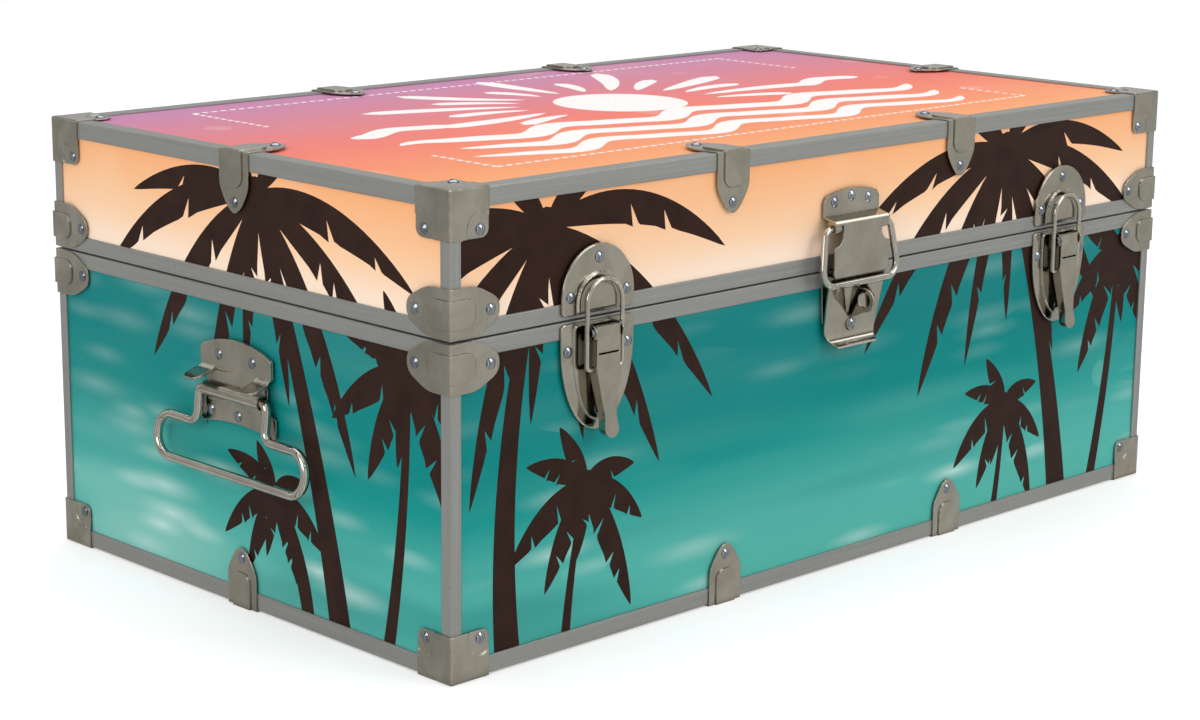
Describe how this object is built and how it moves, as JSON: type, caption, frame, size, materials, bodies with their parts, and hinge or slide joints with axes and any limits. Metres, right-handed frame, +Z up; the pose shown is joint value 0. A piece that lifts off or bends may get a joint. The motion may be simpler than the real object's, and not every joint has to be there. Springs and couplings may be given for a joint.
{
  "type": "footlocker",
  "caption": "Rectangular plywood footlocker with hinged lid, aluminium edging, riveted corner caps, draw latches, centre hasp with padlock eye and swing end handles.",
  "frame": {"origin": "bottom centre of the closed trunk's bounding box, in the plane it stands on; the middle between the corner caps is 10.85 mm further back, because the padlock eye stands out further in front than the hinges do behind", "axes": "+X to the right along the long front, -Y is the front with the latches, +Z up"},
  "size_m": [0.8534, 0.5023, 0.3449],
  "materials": {
    "plywood": "clear sealed plywood",
    "printed_lid_top": "satin printed laminate, sunset gradient",
    "printed_lid_side": "satin printed laminate, pale orange sky",
    "printed_base_side": "satin printed laminate, blue-green water",
    "edge_aluminium": "satin extruded",
    "nickel_plate": "nickel plated, satin",
    "plated_wire": "bright nickel plated",
    "zinc_rivet": "zinc plated"
  },
  "bodies": {
    "base": {"base_back_laminate": "printed_base_side", "base_back_panel": "plywood", "base_bottom_panel": "plywood", "base_corner_angles": "edge_aluminium", "base_corner_caps": "nickel_plate", "base_edge_back": "edge_aluminium", "base_edge_clamps": "nickel_plate", "base_edge_ends": "edge_aluminium", "base_edge_front": "edge_aluminium", "base_front_laminate": "printed_base_side", "base_front_panel": "plywood", "base_hinge_leaves": "nickel_plate", "base_left_laminate": "printed_base_side", "base_left_panel": "plywood", "base_right_laminate": "printed_base_side", "base_right_panel": "plywood", "base_rim_back": "edge_aluminium", "base_rim_corners": "nickel_plate", "base_rim_ends": "edge_aluminium", "base_rim_front": "edge_aluminium", "base_rivets": "zinc_rivet", "handle_back_plates": "nickel_plate", "handle_front_plates": "nickel_plate", "hinge_pins": "zinc_rivet", "latch_pins": "zinc_rivet", "latch_plate_left": "nickel_plate", "latch_plate_right": "nickel_plate", "lock_strike": "nickel_plate"},
    "lid": {"latch_keeper_left": "nickel_plate", "latch_keeper_right": "nickel_plate", "lid_back_laminate": "printed_lid_side", "lid_back_panel": "plywood", "lid_corner_angles": "edge_aluminium", "lid_corner_caps": "nickel_plate", "lid_edge_back": "edge_aluminium", "lid_edge_clamps": "nickel_plate", "lid_edge_ends": "edge_aluminium", "lid_edge_front": "edge_aluminium", "lid_front_laminate": "printed_lid_side", "lid_front_panel": "plywood", "lid_hinge_leaves": "nickel_plate", "lid_left_laminate": "printed_lid_side", "lid_left_panel": "plywood", "lid_right_laminate": "printed_lid_side", "lid_right_panel": "plywood", "lid_rim_back": "edge_aluminium", "lid_rim_corners": "nickel_plate", "lid_rim_ends": "edge_aluminium", "lid_rim_front": "edge_aluminium", "lid_rivets": "zinc_rivet", "lid_top_laminate": "printed_lid_top", "lid_top_panel": "plywood", "lock_cover": "nickel_plate"},
    "handle_left": {"handle_bail_left": "plated_wire"},
    "handle_right": {"handle_bail_right": "plated_wire"},
    "lever_left": {"latch_lever_left": "nickel_plate"},
    "lever_right": {"latch_lever_right": "nickel_plate"},
    "latch_wire_left": {"latch_bail_left": "plated_wire"},
    "latch_wire_right": {"latch_bail_right": "plated_wire"},
    "lock_ring": {"lock_bail": "plated_wire"}
  },
  "joints": [
    {"name": "lid_hinge", "type": "hinge", "parent": "base", "child": "lid", "pos_m": [0, 0.24795, 0.24], "axis": [-1, 0, 0], "range_deg": [0, 95]},
    {"name": "handle_left_swing", "type": "hinge", "parent": "base", "child": "handle_left", "pos_m": [-0.4109, 0.01085, 0.163], "axis": [0, 1, 0], "range_deg": [0, 100]},
    {"name": "handle_right_swing", "type": "hinge", "parent": "base", "child": "handle_right", "pos_m": [0.4109, 0.01085, 0.163], "axis": [0, -1, 0], "range_deg": [0, 100]},
    {"name": "latch_left_lever", "type": "hinge", "parent": "base", "child": "lever_left", "pos_m": [-0.27, -0.23245, 0.2305], "axis": [-1, 0, 0], "range_deg": [0, 110]},
    {"name": "latch_right_lever", "type": "hinge", "parent": "base", "child": "lever_right", "pos_m": [0.27, -0.23245, 0.2305], "axis": [-1, 0, 0], "range_deg": [0, 110]},
    {"name": "latch_left_wire", "type": "hinge", "parent": "lever_left", "child": "latch_wire_left", "pos_m": [-0.27, -0.23155, 0.204], "axis": [-1, 0, 0], "range_deg": [-110, 0]},
    {"name": "latch_right_wire", "type": "hinge", "parent": "lever_right", "child": "latch_wire_right", "pos_m": [0.27, -0.23155, 0.204], "axis": [-1, 0, 0], "range_deg": [-110, 0]},
    {"name": "lock_ring_swing", "type": "hinge", "parent": "lid", "child": "lock_ring", "pos_m": [0, -0.23145, 0.2735], "axis": [-1, 0, 0], "range_deg": [0, 165]}
  ],
  "couplings": [
    {"joint": "latch_left_wire", "follows": "latch_left_lever", "ratio": -1},
    {"joint": "latch_right_wire", "follows": "latch_right_lever", "ratio": -1}
  ]
}
